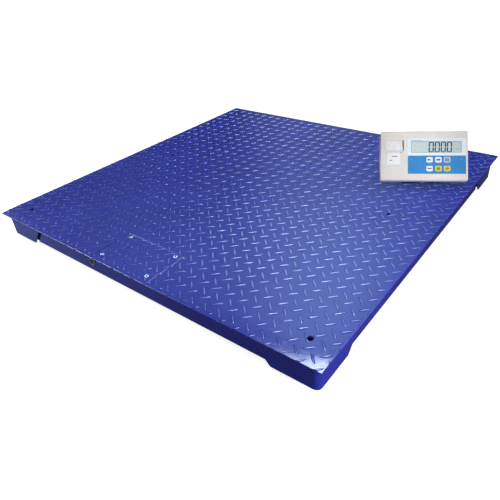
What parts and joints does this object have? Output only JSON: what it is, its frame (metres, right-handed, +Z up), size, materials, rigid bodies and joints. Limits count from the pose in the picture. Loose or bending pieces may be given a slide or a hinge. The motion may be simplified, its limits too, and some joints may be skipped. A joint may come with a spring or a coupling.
{
  "type": "platform scale",
  "caption": "Low-profile floor scale: blue tread-plate deck on levelling feet and load cells, with a tilting grey printer indicator.",
  "frame": {"origin": "on the floor under the centre of the square deck", "axes": "+Z up, -Y towards the edge with the hatch and the cable socket, +X to its right"},
  "size_m": [1.2, 1.2, 0.2468],
  "materials": {
    "blue_paint": "satin",
    "zinc_steel": "satin",
    "cell_steel": "satin",
    "rubber": "matte",
    "cable_jacket": "matte",
    "case_grey": "matte",
    "circuit_board": "satin",
    "black_plastic": "satin",
    "overlay": "satin",
    "lcd": "gloss",
    "white_plastic": "satin",
    "key_white": "satin",
    "key_grey": "satin",
    "key_yellow": "satin",
    "paper": "matte"
  },
  "bodies": {
    "platform": {"deck_plate": "blue_paint", "deck_frame": "blue_paint", "front_skirt": "blue_paint", "rear_skirt": "blue_paint", "left_skirt": "blue_paint", "right_skirt": "blue_paint", "corner_pocket_front_left": "blue_paint", "corner_pocket_front_right": "blue_paint", "corner_pocket_rear_left": "blue_paint", "corner_pocket_rear_right": "blue_paint", "load_cell_front_left": "cell_steel", "load_cell_front_right": "cell_steel", "load_cell_rear_left": "cell_steel", "load_cell_rear_right": "cell_steel", "load_cell_cable_front_left": "cable_jacket", "load_cell_cable_front_right": "cable_jacket", "load_cell_cable_rear_left": "cable_jacket", "load_cell_cable_rear_right": "cable_jacket", "junction_box": "case_grey", "junction_box_lid": "case_grey", "summing_board": "circuit_board", "signal_cable": "cable_jacket", "signal_socket": "zinc_steel", "tilt_bracket": "zinc_steel"},
    "hatch": {"hatch_cover": "blue_paint", "hatch_screw_front_left": "zinc_steel", "hatch_screw_front_right": "zinc_steel", "hatch_screw_back_left": "zinc_steel", "hatch_screw_back_right": "zinc_steel"},
    "foot_front_left": {"foot_cup_front_left": "zinc_steel", "foot_pad_front_left": "rubber"},
    "stem_front_left": {"foot_stem_front_left": "zinc_steel"},
    "foot_front_right": {"foot_cup_front_right": "zinc_steel", "foot_pad_front_right": "rubber"},
    "stem_front_right": {"foot_stem_front_right": "zinc_steel"},
    "foot_rear_left": {"foot_cup_rear_left": "zinc_steel", "foot_pad_rear_left": "rubber"},
    "stem_rear_left": {"foot_stem_rear_left": "zinc_steel"},
    "foot_rear_right": {"foot_cup_rear_right": "zinc_steel", "foot_pad_rear_right": "rubber"},
    "stem_rear_right": {"foot_stem_rear_right": "zinc_steel"},
    "indicator": {"indicator_front_cover": "case_grey", "indicator_rear_cover": "case_grey", "front_overlay": "overlay", "lcd_module": "lcd", "main_board": "circuit_board", "print_head": "zinc_steel", "paper_ticket": "paper", "indicator_socket": "zinc_steel"},
    "knob_left": {"bracket_knob_left": "black_plastic"},
    "knob_right": {"bracket_knob_right": "black_plastic"},
    "printer_door": {"printer_cover": "white_plastic"},
    "platen": {"platen_roller": "rubber"},
    "roll": {"paper_roll": "paper"},
    "key_1_1_cap": {"key_1_1": "key_white"},
    "key_1_2_cap": {"key_1_2": "key_white"},
    "key_1_3_cap": {"key_1_3": "key_grey"},
    "key_2_1_cap": {"key_2_1": "key_white"},
    "key_2_2_cap": {"key_2_2": "key_yellow"},
    "key_2_3_cap": {"key_2_3": "key_yellow"}
  },
  "joints": [
    {"name": "hatch_lift", "type": "slide", "parent": "platform", "child": "hatch", "axis": [0, 0, 1], "range_m": [0, 0.1]},
    {"name": "foot_level_front_left", "type": "slide", "parent": "platform", "child": "foot_front_left", "axis": [0, 0, 1], "range_m": [-0.01, 0]},
    {"name": "foot_screw_front_left", "type": "hinge", "parent": "foot_front_left", "child": "stem_front_left", "pos_m": [-0.532, -0.532, 0.015], "axis": [0, 0, 1], "range_deg": [-2050, 0]},
    {"name": "foot_level_front_right", "type": "slide", "parent": "platform", "child": "foot_front_right", "axis": [0, 0, 1], "range_m": [-0.01, 0]},
    {"name": "foot_screw_front_right", "type": "hinge", "parent": "foot_front_right", "child": "stem_front_right", "pos_m": [0.532, -0.532, 0.015], "axis": [0, 0, 1], "range_deg": [-2050, 0]},
    {"name": "foot_level_rear_left", "type": "slide", "parent": "platform", "child": "foot_rear_left", "axis": [0, 0, 1], "range_m": [-0.01, 0]},
    {"name": "foot_screw_rear_left", "type": "hinge", "parent": "foot_rear_left", "child": "stem_rear_left", "pos_m": [-0.532, 0.532, 0.015], "axis": [0, 0, 1], "range_deg": [-2050, 0]},
    {"name": "foot_level_rear_right", "type": "slide", "parent": "platform", "child": "foot_rear_right", "axis": [0, 0, 1], "range_m": [-0.01, 0]},
    {"name": "foot_screw_rear_right", "type": "hinge", "parent": "foot_rear_right", "child": "stem_rear_right", "pos_m": [0.532, 0.532, 0.015], "axis": [0, 0, 1], "range_deg": [-2050, 0]},
    {"name": "indicator_tilt", "type": "hinge", "parent": "platform", "child": "indicator", "pos_m": [0.41926, 0.31913, 0.14126], "axis": [0.8695, 0.4939, 0], "range_deg": [-25, 8]},
    {"name": "knob_left_turn", "type": "hinge", "parent": "indicator", "child": "knob_left", "pos_m": [0.36578, 0.28875, 0.14126], "axis": [0.8695, 0.4939, 0], "range_deg": [-180, 180]},
    {"name": "knob_right_turn", "type": "hinge", "parent": "indicator", "child": "knob_right", "pos_m": [0.47273, 0.34951, 0.14126], "axis": [0.8695, 0.4939, 0], "range_deg": [-180, 180]},
    {"name": "printer_door_hinge", "type": "hinge", "parent": "indicator", "child": "printer_door", "pos_m": [0.35553, 0.24849, 0.22226], "axis": [-0.8695, -0.4939, 0], "range_deg": [0, 100]},
    {"name": "platen_turn", "type": "hinge", "parent": "indicator", "child": "platen", "pos_m": [0.36352, 0.23442, 0.18975], "axis": [0.8695, 0.4939, 0], "continuous": true},
    {"name": "paper_roll_turn", "type": "hinge", "parent": "indicator", "child": "roll", "pos_m": [0.35209, 0.25454, 0.1971], "axis": [0.8695, 0.4939, 0], "continuous": true},
    {"name": "key_1_1_press", "type": "slide", "parent": "indicator", "child": "key_1_1_cap", "axis": [-0.3784, 0.6661, -0.6428], "range_m": [0, 0.0008], "stiffness_N_per_m": 400},
    {"name": "key_1_2_press", "type": "slide", "parent": "indicator", "child": "key_1_2_cap", "axis": [-0.3784, 0.6661, -0.6428], "range_m": [0, 0.0008], "stiffness_N_per_m": 400},
    {"name": "key_1_3_press", "type": "slide", "parent": "indicator", "child": "key_1_3_cap", "axis": [-0.3784, 0.6661, -0.6428], "range_m": [0, 0.0008], "stiffness_N_per_m": 400},
    {"name": "key_2_1_press", "type": "slide", "parent": "indicator", "child": "key_2_1_cap", "axis": [-0.3784, 0.6661, -0.6428], "range_m": [0, 0.0008], "stiffness_N_per_m": 400},
    {"name": "key_2_2_press", "type": "slide", "parent": "indicator", "child": "key_2_2_cap", "axis": [-0.3784, 0.6661, -0.6428], "range_m": [0, 0.0008], "stiffness_N_per_m": 400},
    {"name": "key_2_3_press", "type": "slide", "parent": "indicator", "child": "key_2_3_cap", "axis": [-0.3784, 0.6661, -0.6428], "range_m": [0, 0.0008], "stiffness_N_per_m": 400}
  ],
  "couplings": [
    {"joint": "foot_level_front_left", "follows": "foot_screw_front_left", "m_per_rad": 0.00027852},
    {"joint": "foot_level_front_right", "follows": "foot_screw_front_right", "m_per_rad": 0.00027852},
    {"joint": "foot_level_rear_left", "follows": "foot_screw_rear_left", "m_per_rad": 0.00027852},
    {"joint": "foot_level_rear_right", "follows": "foot_screw_rear_right", "m_per_rad": 0.00027852},
    {"joint": "platen_turn", "follows": "paper_roll_turn", "ratio": 3.3333}
  ]
}
